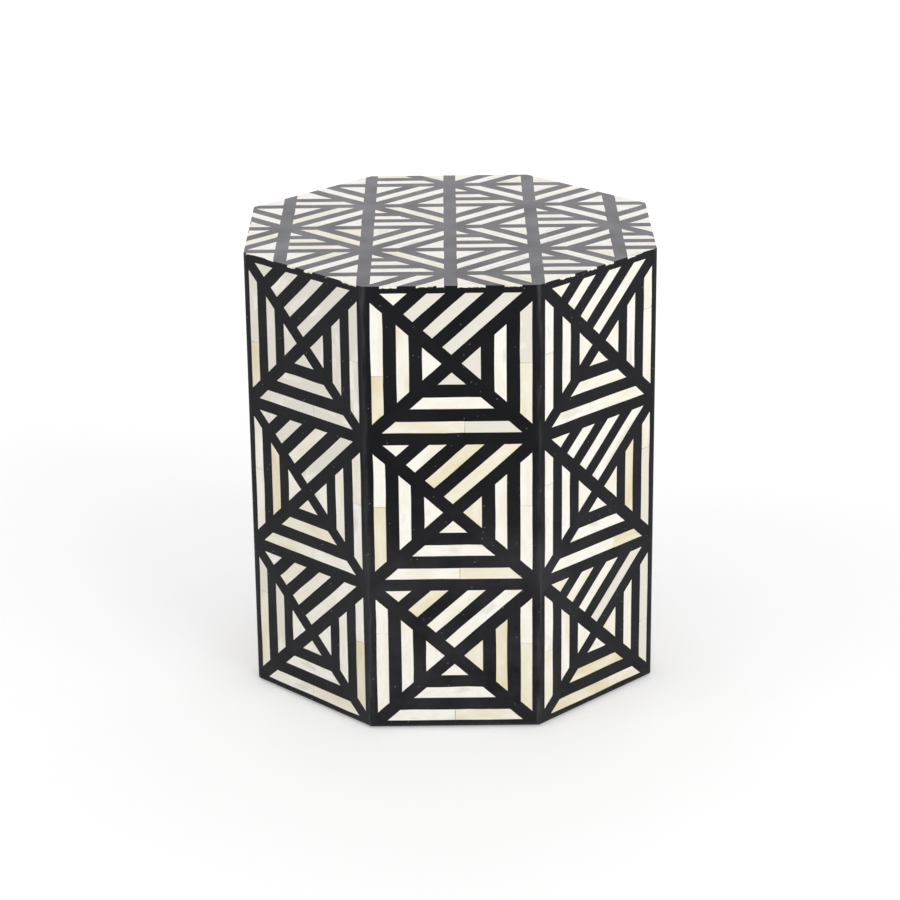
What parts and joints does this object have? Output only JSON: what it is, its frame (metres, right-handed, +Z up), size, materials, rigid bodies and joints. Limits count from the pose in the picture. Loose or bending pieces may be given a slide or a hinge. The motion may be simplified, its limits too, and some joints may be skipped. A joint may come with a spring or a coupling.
{
  "type": "side table",
  "caption": "Octagonal drum side table with a geometric bone inlay in black resin on its sides and flat top, on a mitred board carcass.",
  "frame": {"origin": "on the floor under the middle of the table", "axes": "+Z up, -Y out of the front side, +X to the right seen from the front"},
  "size_m": [0.4, 0.4, 0.454],
  "materials": {
    "bone": "polished bone, ivory white with a fine grain",
    "black_resin": "black polyester resin, sanded to a soft gloss",
    "fibreboard": "raw medium density fibreboard, blackened underneath",
    "pine": "raw pine",
    "zinc_plated_steel": "zinc plated",
    "felt": "pressed felt"
  },
  "bodies": {
    "root": {"base_board": "fibreboard", "base_screws": "zinc_plated_steel", "bone_inlay_back": "bone", "bone_inlay_back_left": "bone", "bone_inlay_back_right": "bone", "bone_inlay_front": "bone", "bone_inlay_front_left": "bone", "bone_inlay_front_right": "bone", "bone_inlay_left": "bone", "bone_inlay_right": "bone", "bone_inlay_top": "bone", "felt_pads": "felt", "lower_glue_blocks": "pine", "mitre_tongues": "pine", "resin_panel_back": "black_resin", "resin_panel_back_left": "black_resin", "resin_panel_back_right": "black_resin", "resin_panel_front": "black_resin", "resin_panel_front_left": "black_resin", "resin_panel_front_right": "black_resin", "resin_panel_left": "black_resin", "resin_panel_right": "black_resin", "resin_top": "black_resin", "stave_back": "fibreboard", "stave_back_left": "fibreboard", "stave_back_right": "fibreboard", "stave_front": "fibreboard", "stave_front_left": "fibreboard", "stave_front_right": "fibreboard", "stave_left": "fibreboard", "stave_right": "fibreboard", "top_board": "fibreboard", "top_screws": "zinc_plated_steel", "upper_glue_blocks": "pine"}
  },
  "joints": []
}
